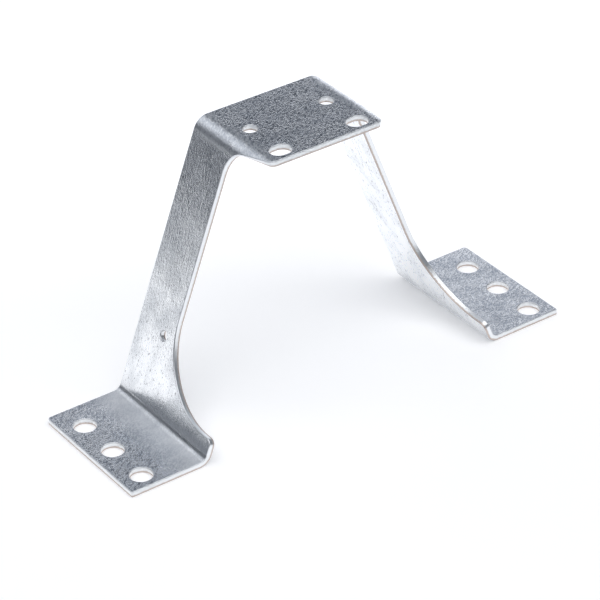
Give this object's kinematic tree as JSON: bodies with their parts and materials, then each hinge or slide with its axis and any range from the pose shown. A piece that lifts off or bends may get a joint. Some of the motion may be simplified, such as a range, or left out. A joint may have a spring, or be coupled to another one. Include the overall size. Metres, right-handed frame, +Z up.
{
  "type": "fan motor bracket",
  "caption": "Bridge of folded galvanised sheet steel on wide screwed-down feet, whose raised plate holds a small fan motor.",
  "frame": {"origin": "on the floor, at the middle of the rectangle that the two feet cover", "axes": "+X from the left foot to the right foot, +Y across the strip towards its straight back edge, +Z up, away from the face the feet are screwed to"},
  "size_m": [0.125, 0.0364, 0.067],
  "materials": {
    "galvanised_sheet": "galvanised sheet steel, skin-passed, grey with fine bright flecks, bare and unpainted"
  },
  "bodies": {
    "root": {"bracket": "galvanised_sheet"}
  },
  "joints": []
}
